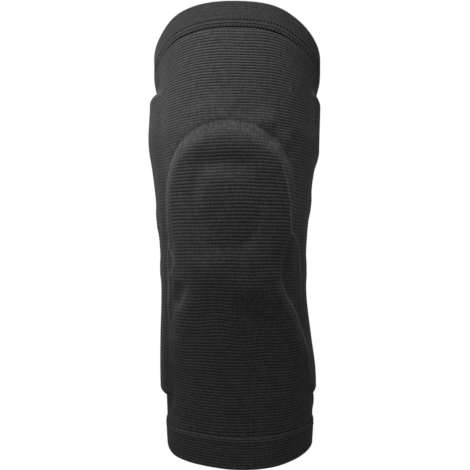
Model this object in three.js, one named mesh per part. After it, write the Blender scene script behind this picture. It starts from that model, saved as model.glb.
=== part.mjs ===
// A pull-on knitted knee sleeve, filled out to the form of a slightly bent leg.
// A padded ring round the kneecap and a flat stay down each side lie under the knit and raise it.
// Both ends are turned over into hems.
// Millimetres. Origin in the middle of the knee, level with the kneecap. +Z up, front towards -Y.
// A place on the sleeve is given by its height z on the leg's axis and by its turn round the leg,
// in degrees from the front, positive towards +X.

import * as THREE from "three";

// Thicknesses and clearances
const KNIT_WALL = 2.0;
const HEM_LAYER = 1.0;
const SEAM_GAP = 0.4;
const RING_GAP = 1.1;
const STAY_GAP = 0.6;
const PAD_EDGE = 0.7;

// Ends of the sleeve, as heights on the leg's axis, and the depth of the bands turned over them,
// which narrow from the front to the sides
const TOP_EDGE = 127;
const BOTTOM_EDGE = -190;
const UPPER_HEM_DEPTH = 25;
const LOWER_HEM_DEPTH = 26;
const HEM_NARROWING = { by: 4, from: 30, to: 90 };
const FOLD_ROUND = 0.9;

// The leg that fills the sleeve, a row for each section across it. The section's centre lies lean
// behind the knee and shift to the right, its plane is tilted up at the front by tilt degrees, and
// it reaches halfWidth to each side, front forwards and back backwards.
const LEG = [
  { z: -195, lean: 13.3, tilt: -12.6, shift: 3.9, halfWidth: 54.6, front: 54.2, back: 54.5 },
  { z: -165, lean: 8.0, tilt: -9.0, shift: 3.9, halfWidth: 56.0, front: 52.0, back: 58.0 },
  { z: -130, lean: 3.0, tilt: -8.0, shift: 3.4, halfWidth: 56.6, front: 51.4, back: 60.0 },
  { z: -100, lean: -0.5, tilt: -4.5, shift: 1.6, halfWidth: 54.5, front: 53.0, back: 59.0 },
  { z: -70, lean: -2.2, tilt: -0.5, shift: 0.2, halfWidth: 52.3, front: 56.7, back: 55.0 },
  { z: -40, lean: -1.9, tilt: 2.0, shift: -0.4, halfWidth: 52.3, front: 60.0, back: 52.0 },
  { z: 0, lean: 0.0, tilt: 5.0, shift: -0.5, halfWidth: 55.4, front: 62.6, back: 52.0 },
  { z: 30, lean: 2.9, tilt: 8.0, shift: -0.4, halfWidth: 59.2, front: 63.0, back: 55.0 },
  { z: 46, lean: 5.4, tilt: 10.0, shift: 0.1, halfWidth: 62.4, front: 62.0, back: 57.0 },
  { z: 60, lean: 8.2, tilt: 12.0, shift: 0.2, halfWidth: 63.2, front: 60.2, back: 59.0 },
  { z: 97, lean: 17.7, tilt: 19.5, shift: 1.4, halfWidth: 63.6, front: 60.0, back: 62.0 },
  { z: 112, lean: 24.0, tilt: 26.5, shift: 1.8, halfWidth: 64.2, front: 62.3, back: 63.0 },
  { z: 132, lean: 33.4, tilt: 32.5, shift: 1.6, halfWidth: 65.0, front: 63.2, back: 64.3 },
];
const SQUARENESS = 0.03;

// How far each edge of the sleeve stands above or below its nominal height round the leg
const EDGE_LIFT = [
  { turn: -180, top: -5.0, bottom: 0.0 },
  { turn: -90, top: -5.0, bottom: 2.0 },
  { turn: -65, top: -3.4, bottom: 0.2 },
  { turn: -45, top: 1.3, bottom: 0.3 },
  { turn: -27, top: 2.3, bottom: 0.1 },
  { turn: 0, top: 1.8, bottom: -1.1 },
  { turn: 27, top: 1.3, bottom: -0.6 },
  { turn: 45, top: -1.9, bottom: 1.0 },
  { turn: 65, top: -5.2, bottom: 2.3 },
  { turn: 90, top: -6.0, bottom: 2.2 },
  { turn: 180, top: -5.0, bottom: 0.0 },
];
const EDGE_REACH = 45;
const EDGE_PROBE = 15;

// Padded ring round the kneecap: an egg reaching left and right in degrees, up and down in height.
// It raises the knit by an amount that depends on the direction from its centre, over a shoulder
// that is a share of its radius.
const RING = { turn: -6, z: -4, left: 57, right: 62, up: 62, down: 86 };
const RING_RISE = { middle: 4.4, left: 5.2, right: 4.8, up: 4.6, down: 4.3 };
const RING_SHOULDER = { side: 0.22, up: 0.23, down: 0.62 };
const RING_OUTLINE = 0.93;

// Oval opening in the ring, a little squared, the slope down to it and the kneecap that fills it
const OPENING = { turn: 25.5, z: 30.5, squareness: 2.3 };
const INNER_SLOPE = { width: 0.44, depth: 3.8 };
const KNEECAP_RISE = 1.5;

// Flat stay down each side, between two turns from the front, with soft edges and short ends
const STAY = { front: 64, back: 102, softEdge: 5, top: 86.5, bottom: -147, endLength: 6 };
const STAY_RISE = { left: 4.6, right: 2.6 };
const STAY_BODY = { front: 68, back: 95, top: 83, bottom: -143.5 };

// Folds and dents of the knit, each a soft ridge from one place to another; a negative rise sinks
const FOLDS = [
  { turn: -45, z: -58, toTurn: -56, toZ: -100, width: 11, rise: 1.4 },
  { turn: -37, z: -72, toTurn: -54, toZ: -116, width: 9.5, rise: 1.2 },
  { turn: -54, z: -43, toTurn: -54, toZ: -68, width: 11.5, rise: 1.6 },
  { turn: -50, z: -66, toTurn: -51, toZ: -70, width: 6.5, rise: -2.4 },
  { turn: 29, z: -56, toTurn: 55, toZ: -108, width: 9.5, rise: 3 },
  { turn: 61, z: -97, toTurn: 66, toZ: -136, width: 4.3, rise: 1 },
  { turn: 47, z: -35, toTurn: 52, toZ: -70, width: 4.5, rise: -1.6 },
  { turn: 44, z: 43, toTurn: 42, toZ: 35, width: 7.8, rise: -1.8 },
  { turn: 26, z: 43, toTurn: 34, toZ: 50, width: 7.4, rise: -1.6 },
  { turn: 32, z: 49, toTurn: 38, toZ: 44, width: 5.3, rise: 0.7 },
  { turn: 19, z: 56, toTurn: 24, toZ: 56, width: 5.4, rise: 1.2 },
  { turn: -19, z: 57, toTurn: 0, toZ: 59, width: 9.4, rise: 1.6 },
  { turn: -20, z: 24, toTurn: 8, toZ: 24, width: 7.5, rise: -0.8 },
  { turn: -17, z: 15, toTurn: -28, toZ: -15, width: 10, rise: 1.2 },
  { turn: 8, z: -65, toTurn: 30, toZ: -71, width: 8.5, rise: 1.6 },
  { turn: 8, z: -81, toTurn: 24, toZ: -83, width: 7, rise: -1.2 },
  { turn: -72, z: 92.5, toTurn: -98, toZ: 91, width: 4.2, rise: -1.5 },
  { turn: 72, z: 92.5, toTurn: 98, toZ: 91, width: 4.2, rise: -0.8 },
  { turn: -85, z: 76, toTurn: -88, toZ: 68, width: 6, rise: -0.9 },
  { turn: -88, z: -6, toTurn: -88, toZ: -13, width: 7, rise: 1.1 },
  { turn: -88, z: -46, toTurn: -88, toZ: -51, width: 6, rise: 0.8 },
  { turn: 88, z: 41, toTurn: 88, toZ: 38, width: 6, rise: 0.9 },
  { turn: 88, z: 5, toTurn: 88, toZ: 0, width: 7, rise: 1.1 },
  { turn: 88, z: -46, toTurn: 88, toZ: -52, width: 7, rise: 0.8 },
  { turn: 88, z: -151, toTurn: 88, toZ: -154, width: 5, rise: 1 },
];

// Fineness of the faceted surfaces
const FRONT_HALF_TURN = 100;
const FRONT_COLUMNS = 30;
const BACK_COLUMNS = 10;
const ROW_BANDS = [
  { to: -150, rows: 4 },
  { to: -138, rows: 5 },
  { to: -80, rows: 6 },
  { to: 60, rows: 21 },
  { to: 78, rows: 2 },
  { to: 96, rows: 6 },
  { to: TOP_EDGE, rows: 4 },
];
const RING_SPOKES = 36;
const RING_STEPS = 6;
const STAY_ROWS = 14;
const STAY_COLUMNS = 6;

const COLOURS = { knit: 0x2b2b2b, hem: 0x272727, pad: 0x3a3a3a, stay: 0x333333 };

// Smooth curve through one column of a table: cubic pieces whose slope at each row is that of the
// line between its two neighbours
function through(rows, along, column) {
  const last = rows.length - 1;
  const slope = rows.map((row, i) => {
    const before = rows[Math.max(i - 1, 0)];
    const after = rows[Math.min(i + 1, last)];
    return (after[column] - before[column]) / (after[along] - before[along]);
  });
  return (at) => {
    let i = 0;
    while (i < last - 1 && at > rows[i + 1][along]) i += 1;
    const width = rows[i + 1][along] - rows[i][along];
    const t = THREE.MathUtils.clamp((at - rows[i][along]) / width, 0, 1);
    const s = 1 - t;
    const values = s * s * (1 + 2 * t) * rows[i][column] + t * t * (3 - 2 * t) * rows[i + 1][column];
    return values + t * s * width * (s * slope[i] - t * slope[i + 1]);
  };
}

const lean = through(LEG, "z", "lean");
const tilt = through(LEG, "z", "tilt");
const shift = through(LEG, "z", "shift");
const halfWidth = through(LEG, "z", "halfWidth");
const front = through(LEG, "z", "front");
const back = through(LEG, "z", "back");
const topLift = through(EDGE_LIFT, "turn", "top");
const bottomLift = through(EDGE_LIFT, "turn", "bottom");

const bell = (distance) => Math.exp(-distance * distance);
const step = THREE.MathUtils.smoothstep;

// Height of a row at one turn: the rows near each end follow that end's edge
function rowHeight(z, turn) {
  const up = step(z, TOP_EDGE - EDGE_REACH, TOP_EDGE) * topLift(turn);
  const down = (1 - step(z, BOTTOM_EDGE, BOTTOM_EDGE + EDGE_REACH)) * bottomLift(turn);
  return z + up + down;
}

// Point that stands grow out from the leg at a height and turn
function onLeg(z, turn, grow) {
  const angle = THREE.MathUtils.degToRad(turn);
  const slant = THREE.MathUtils.degToRad(tilt(z));
  const swell = 1 + SQUARENESS * Math.sin(2 * angle) ** 2;
  const depth = Math.cos(angle) > 0 ? front(z) : back(z);
  const sideways = (halfWidth(z) + grow) * Math.sin(angle) * swell;
  const forwards = (depth + grow) * Math.cos(angle) * swell;
  return new THREE.Vector3(
    shift(z) + sideways,
    lean(z) - forwards * Math.cos(slant),
    z + forwards * Math.sin(slant),
  );
}

// Height of the place that lies a distance along the cloth from one edge of the sleeve
function fromEdge(edge, turn, distance) {
  const inwards = edge === TOP_EDGE ? -1 : 1;
  const rim = rowHeight(edge, turn);
  const probe = onLeg(rim + inwards * EDGE_PROBE, turn, KNIT_WALL);
  const stretch = probe.distanceTo(onLeg(rim, turn, KNIT_WALL)) / EDGE_PROBE;
  return rim + (inwards * distance) / stretch;
}

// Share of the way out from the ring's centre to its outline
function ringRadius(turn, z) {
  const across = (turn - RING.turn) / (turn < RING.turn ? RING.left : RING.right);
  const along = (z - RING.z) / (z > RING.z ? RING.up : RING.down);
  return Math.hypot(across, along);
}

// Share of the way out from the ring's centre to the edge of its opening
function openingRadius(turn, z) {
  const across = Math.abs((turn - RING.turn) / OPENING.turn) ** OPENING.squareness;
  const along = Math.abs((z - RING.z) / OPENING.z) ** OPENING.squareness;
  return (across + along) ** (1 / OPENING.squareness);
}

// Rise of the knit over the ring, down its inner slope and over the kneecap in its opening
function ringRise(turn, z) {
  const up = z > RING.z;
  const left = turn < RING.turn;
  const radius = ringRadius(turn, z);
  const along = (z - RING.z) / (up ? RING.up : RING.down) / Math.max(radius, 0.01);
  const end = along * along;
  const mix = (side, ends) => side * (1 - end) + ends * end;
  const shoulder = mix(RING_SHOULDER.side, up ? RING_SHOULDER.up : RING_SHOULDER.down);
  const edge = mix(left ? RING_RISE.left : RING_RISE.right, up ? RING_RISE.up : RING_RISE.down);
  const rise = THREE.MathUtils.lerp(RING_RISE.middle, edge, step(radius, 0.2, 0.75));
  const inside = openingRadius(turn, z);
  const hollow = INNER_SLOPE.depth * Math.exp(-Math.max(0, inside - 1) / INNER_SLOPE.width);
  const kneecap = KNEECAP_RISE * Math.max(0, 1 - inside * inside);
  return rise * step(1 - radius, 0, shoulder) - hollow + kneecap;
}

// Rise of the knit over the stay of the side it lies on
function stayRise(turn, z) {
  const away = Math.abs(turn);
  const soft = STAY.softEdge;
  const across = step(away, STAY.front - soft, STAY.front + soft) * (1 - step(away, STAY.back - soft, STAY.back + soft));
  const above = step(z, STAY.bottom, STAY.bottom + STAY.endLength);
  const below = 1 - step(z, STAY.top - STAY.endLength, STAY.top);
  return (turn < 0 ? STAY_RISE.left : STAY_RISE.right) * across * above * below;
}

// Rise of one fold, falling away with the distance from its line
function foldRise(fold, turn, z) {
  const run = { turn: fold.toTurn - fold.turn, z: fold.toZ - fold.z };
  const length = run.turn * run.turn + run.z * run.z;
  const share = ((turn - fold.turn) * run.turn + (z - fold.z) * run.z) / length;
  const t = THREE.MathUtils.clamp(share, 0, 1);
  const distance = Math.hypot(turn - fold.turn - t * run.turn, z - fold.z - t * run.z);
  return fold.rise * bell(distance / fold.width);
}

// How far the knit's inner face stands off the leg
function drape(turn, z) {
  const raised = Math.hypot(ringRise(turn, z), stayRise(turn, z));
  return FOLDS.reduce((rise, fold) => rise + foldRise(fold, turn, z), raised);
}

// Turns of the columns round the sleeve, close together at the front
function columnTurns() {
  const turns = [];
  for (let i = 0; i < FRONT_COLUMNS; i += 1) {
    turns.push(-FRONT_HALF_TURN + (2 * FRONT_HALF_TURN * i) / FRONT_COLUMNS);
  }
  for (let i = 0; i < BACK_COLUMNS; i += 1) {
    const turn = FRONT_HALF_TURN + ((360 - 2 * FRONT_HALF_TURN) * i) / BACK_COLUMNS;
    turns.push(turn > 180 ? turn - 360 : turn);
  }
  return turns;
}

// Heights of the rows up the sleeve
function rowHeights() {
  const heights = [BOTTOM_EDGE];
  for (const band of ROW_BANDS) {
    const from = heights[heights.length - 1];
    for (let i = 1; i <= band.rows; i += 1) {
      heights.push(from + ((band.to - from) * i) / band.rows);
    }
  }
  return heights;
}

// Closed surface over a grid of points that closes on itself one way, and the other way too unless
// its first and last loops are capped
function closedMesh(name, loops, capped, material) {
  const count = loops[0].length;
  const faces = [];
  const quad = (a, b, c, d) => faces.push(a, b, c, a, c, d);
  const rings = capped ? loops.length - 1 : loops.length;
  for (let i = 0; i < rings; i += 1) {
    const here = i * count;
    const next = ((i + 1) % loops.length) * count;
    for (let j = 0; j < count; j += 1) {
      const k = (j + 1) % count;
      quad(here + j, next + j, next + k, here + k);
    }
  }
  if (capped) {
    const end = (loops.length - 1) * count;
    for (let j = 0; j < count / 2 - 1; j += 1) {
      quad(j, j + 1, count - 2 - j, count - 1 - j);
      quad(end + j + 1, end + j, end + count - 1 - j, end + count - 2 - j);
    }
  }
  const points = loops.flat();
  let volume = 0;
  for (let i = 0; i < faces.length; i += 3) {
    const [a, b, c] = [points[faces[i]], points[faces[i + 1]], points[faces[i + 2]]];
    volume += a.dot(b.clone().cross(c));
  }
  if (volume < 0) faces.reverse();
  const geometry = new THREE.BufferGeometry().setFromPoints(points);
  geometry.setIndex(faces);
  geometry.computeVertexNormals();
  const mesh = new THREE.Mesh(geometry, material);
  mesh.name = name;
  return mesh;
}

const cloth = (colour) => new THREE.MeshStandardMaterial({ color: colour, roughness: 0.95, metalness: 0 });

// Knitted tube: each column runs up the outside and down the inside
function sleeveBody() {
  const heights = rowHeights();
  const inset = HEM_LAYER + SEAM_GAP;
  const loops = columnTurns().map((turn) => {
    const rows = heights.map((height) => rowHeight(height, turn));
    rows[0] = fromEdge(BOTTOM_EDGE, turn, inset);
    rows[rows.length - 1] = fromEdge(TOP_EDGE, turn, inset);
    const outside = rows.map((z) => onLeg(z, turn, drape(turn, z) + KNIT_WALL));
    const inside = rows.map((z) => onLeg(z, turn, drape(turn, z)));
    return [...outside, ...inside.reverse()];
  });
  return closedMesh("sleeve_body", loops, false, cloth(COLOURS.knit));
}

// Section through a band folded over an edge: an outer layer, the fold and an inner layer
function hemProfile(depth) {
  const outside = KNIT_WALL + SEAM_GAP + HEM_LAYER;
  const inside = -SEAM_GAP - HEM_LAYER;
  return [
    { grow: outside, in: depth },
    { grow: outside, in: depth / 2 },
    { grow: outside, in: FOLD_ROUND },
    { grow: outside - FOLD_ROUND, in: 0 },
    { grow: inside + FOLD_ROUND, in: 0 },
    { grow: inside, in: FOLD_ROUND },
    { grow: inside, in: depth / 2 },
    { grow: inside, in: depth },
    { grow: -SEAM_GAP, in: depth },
    { grow: -SEAM_GAP, in: depth / 2 },
    { grow: -SEAM_GAP, in: HEM_LAYER },
    { grow: KNIT_WALL + SEAM_GAP, in: HEM_LAYER },
    { grow: KNIT_WALL + SEAM_GAP, in: depth / 2 },
    { grow: KNIT_WALL + SEAM_GAP, in: depth },
  ];
}

// Band folded over an edge, its depth measured along the cloth
function hem(name, edge, depth) {
  const loops = columnTurns().map((turn) => {
    const narrower = HEM_NARROWING.by * step(Math.abs(turn), HEM_NARROWING.from, HEM_NARROWING.to);
    const profile = hemProfile(depth - narrower);
    return profile.map((corner) => onLeg(fromEdge(edge, turn, corner.in), turn, corner.grow));
  });
  return closedMesh(name, loops, false, cloth(COLOURS.hem));
}

// Turn and height of the place on a spoke of the ring where a radius reaches one
function onSpoke(angle, radius) {
  const across = Math.cos(angle);
  const along = Math.sin(angle);
  const reach = 1 / radius(RING.turn + across, RING.z + along);
  return { turn: RING.turn + across * reach, z: RING.z + along * reach };
}

// Padded ring: lies on the leg, fills the room under the raised knit and stops at the opening
function kneecapRing() {
  const loops = [];
  for (let i = 0; i < RING_SPOKES; i += 1) {
    const angle = (2 * Math.PI * i) / RING_SPOKES;
    const inner = onSpoke(angle, openingRadius);
    const outer = onSpoke(angle, (turn, z) => ringRadius(turn, z) / RING_OUTLINE);
    const top = [];
    const under = [];
    for (let j = 0; j <= RING_STEPS; j += 1) {
      const turn = THREE.MathUtils.lerp(inner.turn, outer.turn, j / RING_STEPS);
      const z = THREE.MathUtils.lerp(inner.z, outer.z, j / RING_STEPS);
      const room = drape(turn, z) - RING_GAP;
      top.push(onLeg(z, turn, room));
      under.unshift(onLeg(z, turn, Math.min(0, room - PAD_EDGE)));
    }
    loops.push([...top, ...under]);
  }
  return closedMesh("kneecap_ring", loops, false, cloth(COLOURS.pad));
}

// Flat stay: lies on the leg under the raised knit of one side
function sideStay(name, side) {
  const loops = [];
  for (let i = 0; i <= STAY_ROWS; i += 1) {
    const z = THREE.MathUtils.lerp(STAY_BODY.bottom, STAY_BODY.top, i / STAY_ROWS);
    const outside = [];
    const inside = [];
    for (let j = 0; j <= STAY_COLUMNS; j += 1) {
      const turn = side * THREE.MathUtils.lerp(STAY_BODY.front, STAY_BODY.back, j / STAY_COLUMNS);
      const room = drape(turn, z) - STAY_GAP;
      outside.push(onLeg(z, turn, room));
      inside.unshift(onLeg(z, turn, Math.min(0, room - PAD_EDGE)));
    }
    loops.push([...outside, ...inside]);
  }
  return closedMesh(name, loops, true, cloth(COLOURS.stay));
}

const sleeve = new THREE.Group();
sleeve.name = "knee_sleeve";
sleeve.add(sleeveBody());
sleeve.add(hem("upper_hem", TOP_EDGE, UPPER_HEM_DEPTH));
sleeve.add(hem("lower_hem", BOTTOM_EDGE, LOWER_HEM_DEPTH));
sleeve.add(kneecapRing());
sleeve.add(sideStay("side_stay_left", -1));
sleeve.add(sideStay("side_stay_right", 1));

export default sleeve;
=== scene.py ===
"""Knitted knee sleeve in the form a slightly bent leg gives it, with its hems, stitching and pads."""
import math

import bpy
import numpy as np
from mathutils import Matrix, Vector


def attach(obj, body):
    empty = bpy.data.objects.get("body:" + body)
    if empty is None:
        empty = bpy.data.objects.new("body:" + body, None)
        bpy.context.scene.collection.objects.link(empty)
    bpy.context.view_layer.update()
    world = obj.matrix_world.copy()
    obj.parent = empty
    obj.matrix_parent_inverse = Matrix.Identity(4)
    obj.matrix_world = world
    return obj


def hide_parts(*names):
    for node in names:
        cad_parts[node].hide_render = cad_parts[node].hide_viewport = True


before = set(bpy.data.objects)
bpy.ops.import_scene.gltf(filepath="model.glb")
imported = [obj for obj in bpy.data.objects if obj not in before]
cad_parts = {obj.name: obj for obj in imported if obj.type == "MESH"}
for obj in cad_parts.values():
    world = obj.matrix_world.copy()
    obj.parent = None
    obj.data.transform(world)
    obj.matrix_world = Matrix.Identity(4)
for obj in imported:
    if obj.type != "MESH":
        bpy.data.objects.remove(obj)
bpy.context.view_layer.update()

# Lengths in millimetres and turns in degrees from the front, until a mesh is made in metres
MM = 0.001

# Thicknesses and clearances
KNIT_WALL = 2.0
HEM_LAYER = 1.0
SEAM_GAP = 0.4
RING_GAP = 1.1
STAY_GAP = 0.6
PAD_EDGE = 0.7

# Ends of the sleeve, as heights on the leg's axis, the depth of the bands turned over them, which
# narrow from the front to the sides, how far the rows near an end follow its edge, and the length
# over which the run of the cloth from an edge is taken
TOP_EDGE = 127
BOTTOM_EDGE = -190
UPPER_HEM_DEPTH = 24.3
LOWER_HEM_DEPTH = 26
HEM_NARROWING = {"by": 4, "from": 30, "to": 90}
EDGE_REACH = 45
EDGE_PROBE = 15


def table(columns, *rows):
    """Named columns of a short table, as arrays."""
    return dict(zip(columns.split(), np.array(rows, float).T))


# The leg that fills the sleeve, a row for each section across it
LEG = table(
    "z lean tilt shift half_width front back",
    (-195, 13.3, -12.6, 3.9, 54.6, 54.2, 54.5),
    (-165, 8.0, -9.0, 3.9, 56.0, 52.0, 58.0),
    (-130, 3.0, -8.0, 3.4, 56.6, 51.4, 60.0),
    (-100, -0.5, -4.5, 1.6, 54.5, 53.0, 59.0),
    (-70, -2.2, -0.5, 0.2, 52.3, 56.7, 55.0),
    (-40, -1.9, 2.0, -0.4, 52.3, 60.0, 52.0),
    (0, 0.0, 5.0, -0.5, 55.4, 62.6, 52.0),
    (30, 2.9, 8.0, -0.4, 59.2, 63.0, 55.0),
    (46, 5.4, 10.0, 0.1, 62.4, 62.0, 57.0),
    (60, 8.2, 12.0, 0.2, 63.2, 60.2, 59.0),
    (97, 17.7, 19.5, 1.4, 63.6, 60.0, 62.0),
    (112, 24.0, 26.5, 1.8, 64.2, 62.3, 63.0),
    (132, 33.4, 32.5, 1.6, 65.0, 63.2, 64.3),
)
SQUARENESS = 0.03

# How far each edge of the sleeve stands above or below its nominal height round the leg
EDGE_LIFT = table(
    "turn top bottom",
    (-180, -5.0, 0.0),
    (-90, -5.0, 2.0),
    (-65, -3.4, 0.2),
    (-45, 1.3, 0.3),
    (-27, 2.3, 0.1),
    (0, 1.8, -1.1),
    (27, 1.3, -0.6),
    (45, -1.9, 1.0),
    (65, -5.2, 2.3),
    (90, -6.0, 2.2),
    (180, -5.0, 0.0),
)

# Padded ring round the kneecap: its middle and its reach to each side, the rise of the knit over it,
# the shares of the reach between which that rise goes from the middle's to the side's, the width of the
# shoulder inside the outline, and where the pad itself ends
RING = {"turn": -6, "z": -4, "left": 57, "right": 62, "up": 62, "down": 86}
RING_RISE = {"middle": 4.4, "left": 5.7, "right": 5.1, "up": 4.3, "down": 4.3}
RING_CHANGE = {"from": 0.4, "to": 0.9}
RING_SHOULDER = {"side": 0.22, "up": 0.26, "down": 0.62}
RING_OUTLINE = 0.93
LEAST_RADIUS = 0.01

# Oval opening of the ring, the slope down to it and the kneecap's dome in it
OPENING = {"turn": 25.5, "z": 30.5, "squareness": 2.3}
INNER_SLOPE = {"width": 0.44, "depth": 4.1, "softness": 0.16}
KNEECAP_RISE = 1.2

# Flat stay down each side: the raised knit over it, and the strip itself
STAY = {"front": 64, "back": 102, "soft_edge": 5, "top": 86.5, "bottom": -147, "end_length": 6}
STAY_RISE = {"left": 4.6, "right": 2.6}
STAY_BODY = {"front": 68, "back": 95, "top": 83, "bottom": -143.5}

# Meshes of the pads, and how their edges round over: the margin that the rounding stops short of, its
# power, and the least share of the thickness that it leaves
RING_MESH = {"spokes": 144, "steps": 20}
RING_ROUNDING = {"margin": 0.06, "power": 12, "least": 0.55}
STAY_MESH = {"rows": 90, "columns": 16}
STAY_ROUNDING = {"margin": 0.04, "power": 12, "least": 0.4}
STAY_END_ROUNDING = {"margin": 0.004, "power": 60}
STAY_TIP = 0.02

# Folds and dents of the knit, each a soft ridge from one place to another; a negative rise sinks
FOLDS = table(
    "turn z to_turn to_z width rise",
    (-45, -58, -56, -100, 11, 1.4),
    (-37, -72, -54, -116, 9.5, 1.2),
    (-54, -43, -54, -68, 11.5, 1.6),
    (-48.5, -65, -50, -70, 6.5, -3.2),
    (29, -56, 55, -108, 9.5, 3.0),
    (61, -97, 66, -136, 4.3, 1.0),
    (44, -33, 47.5, -66, 6.2, -2.0),
    (44, 43, 42, 35, 7.8, -1.8),
    (26, 43, 34, 50, 7.4, -1.6),
    (32, 49, 38, 44, 5.3, 0.7),
    (19, 56, 24, 56, 5.4, 1.2),
    (-22, 59, -9, 60, 9.4, 1.3),
    (-22, 26, 6, 25, 7.5, -1.3),
    (-17, 15, -24, -2, 10, 1.1),
    (8, -62.5, 30, -68.5, 8.5, 1.7),
    (-36, -36, -27, -38, 8, -0.9),
    (-1, -84, 0, -140, 11, 0.9),
    (9, -78, 24, -80, 7, -1.8),
    (-72, 92.5, -98, 91, 4.2, -1.5),
    (72, 92.5, 98, 91, 4.2, -0.8),
    (-85, 76, -88, 68, 6, -0.9),
    (-88, -6, -88, -13, 7, 1.1),
    (-88, -46, -88, -51, 6, 0.8),
    (88, 41, 88, 38, 6, 0.9),
    (88, 5, 88, 0, 7, 1.1),
    (88, -46, 88, -52, 7, 0.8),
    (88, -151, 88, -154, 5, 1),
)

# Sharp creases of the knit: lines of turn, height and strength, with the rise and width of the ridge,
# and how much lighter the knit is painted along a line of its own width, a painted highlight where the
# crest catches the light
CREASES = (
    {
        "rise": 0.5,
        "width": 1.7,
        "pale": 0.85,
        "line_width": 0.9,
        "line": (
            (-22, 48, 0),
            (-34.5, 43.5, 0.15),
            (-40, 39.5, 0.3),
            (-45.3, 33.5, 0.5),
            (-50.8, 27.5, 0.75),
            (-55, 21, 0.95),
            (-59, 14, 0.95),
            (-61, 7, 0.9),
            (-61.8, -0.5, 0.85),
            (-62.3, -7.5, 0.75),
            (-62.5, -15, 0.7),
            (-62.3, -22.5, 0.6),
            (-62, -30, 0.8),
            (-63.5, -38, 0.4),
            (-63, -52.5, 0.8),
            (-62.8, -60, 1),
            (-62.8, -67.5, 1),
            (-63.5, -75, 0.9),
            (-63, -82.5, 0.6),
            (-62, -89.5, 0.5),
            (-61.3, -104.5, 0.4),
            (-62, -119.5, 0.2),
            (-62.5, -131, 0),
        ),
    },
    {
        "rise": 0.45,
        "width": 1.5,
        "pale": 0.7,
        "line_width": 0.9,
        "line": (
            (-62.8, -31, 0.5),
            (-60.3, -35, 0.8),
            (-54.5, -40, 0.9),
            (-54.5, -45.5, 1),
            (-58.5, -50.5, 1),
            (-61.8, -55, 0.7),
        ),
    },
    {
        "rise": 0.4,
        "width": 2.6,
        "pale": 0.17,
        "line_width": 3.0,
        "line": (
            (-38.3, -58, 0.2),
            (-40, -63.5, 0.8),
            (-42, -68.5, 1),
            (-46, -74, 1),
            (-52, -80, 0.7),
            (-60, -94, 0),
        ),
    },
    {
        "rise": 0.5,
        "width": 1.6,
        "pale": 1.0,
        "line_width": 0.9,
        "line": (
            (15, 49, 0),
            (24.5, 42.5, 0.1),
            (32.3, 29.5, 0.15),
            (36, 20, 0.45),
            (38, 15, 0.65),
            (40.3, 9.5, 0.6),
            (41.5, 4, 0.6),
            (43, -1.5, 0.7),
            (43.5, -7.5, 0.85),
            (44.3, -13, 1),
            (46, -18.5, 1.1),
            (55.8, -24, 0.5),
            (62.5, -31, 0.4),
            (65, -51, 0.7),
            (65, -69, 0.5),
            (64, -82, 0),
        ),
    },
    {
        "rise": 0.45,
        "width": 1.8,
        "pale": 0.9,
        "line_width": 1.0,
        "line": (
            (36.5, -48, 0),
            (39, -60, 0.8),
            (50, -74.5, 1),
            (57, -86, 1),
            (60, -98, 0.9),
            (62, -106, 0.9),
            (65, -125, 0.4),
            (66, -138, 0),
        ),
    },
    # a broad painted highlight on the left flank, with no ridge under it
    {
        "rise": 0,
        "width": 5,
        "pale": 0.12,
        "line_width": 5,
        "line": (
            (-52, 42, 0),
            (-58, 34, 0.7),
            (-67, 20, 1),
            (-70, 4, 1),
            (-70, -6, 0.6),
            (-70, -18, 0),
        ),
    },
    {
        "rise": 0.5,
        "width": 2.0,
        "pale": 0.2,
        "line_width": 1.6,
        "line": ((-64, -150, 0.2), (-65, -157, 1), (-61, -164, 0.3)),
    },
)

# How far a crease's painted highlight reaches, in its own widths, the share of that at which it starts to
# fade, and how many times paler than the crests of the ribs it is
CREASE_REACH = 4.0
CREASE_FADE = 0.5
CREASE_HIGHLIGHT_PALER = 1.8

# Distance from rib to rib up the leg's axis
RIBS = table(
    "z pitch",
    (-190, 2.35),
    (-150, 2.27),
    (-130, 2.2),
    (-113, 2.15),
    (-96, 2.28),
    (-79, 2.25),
    (-63, 2.28),
    (-46, 2.4),
    (-28, 2.43),
    (-12, 2.55),
    (4, 2.49),
    (20, 2.27),
    (38, 2.17),
    (55, 1.92),
    (72, 1.94),
    (88, 1.79),
    (103, 1.36),
    (127, 1.33),
)

# How clearly the ribs show at each height, in their relief and in the painted shade of their grooves
RIB_STRENGTH = table(
    "z strength",
    (-190, 0.7),
    (-130, 0.72),
    (-100, 0.78),
    (-90, 0.75),
    (-79, 0.7),
    (-68, 0.78),
    (-58, 0.85),
    (-30, 0.95),
    (0, 1.05),
    (30, 1.1),
    (42, 1.0),
    (50, 1.05),
    (58, 1.1),
    (66, 1.2),
    (76, 1.35),
    (88, 1.7),
    (103, 1.65),
    (113, 1.25),
    (127, 1.25),
)

# Form of the ribs: depth of their grooves, how far their crests stand out, the power that rounds them
# and the range of their uneven heights, with the mesh rows to a rib and the heights they run between
RIB_RISE = 0.46
RIB_CREST = 0.1
RIB_ROUND = 0.8
RIB_UNEVEN = {"seed": 7, "low": 0.85, "high": 1.15}
ROWS_PER_RIB = 3
RIBBED_FROM = -171
RIBBED_TO = 117
WALES = 240

# Where the ribs lie flatter: over the stays, to the right of the thigh, in an arch over the ring's top
# edge, and in one dent
FLAT = {"from": 48, "full": 64, "until": 104, "to": 118, "by": 0.55}
FADING = {"from": 20, "to": 48, "above": 62, "full": 80, "by": 0.5}
ARCH = {"at": 0.91, "width": 0.1, "from": 0, "full": 40, "by": 0.75}
FAINT = table(
    "turn z to_turn to_z width rise",
    (9, -70, 22, -73, 9, 0.6),
)

# Slow waves of the ribs, each as its count round the leg, height to a radian, start and share, and how
# far they carry a rib all over and where the knit gathers below the knee
RIPPLES = ((5, 23, 0, 1), (8, -31, 1.3, 1), (13, 11, 0, 0.6))
RIPPLE = {"all": 0.35, "gathered": 0.9, "at": -95, "reach": 22}

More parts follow.
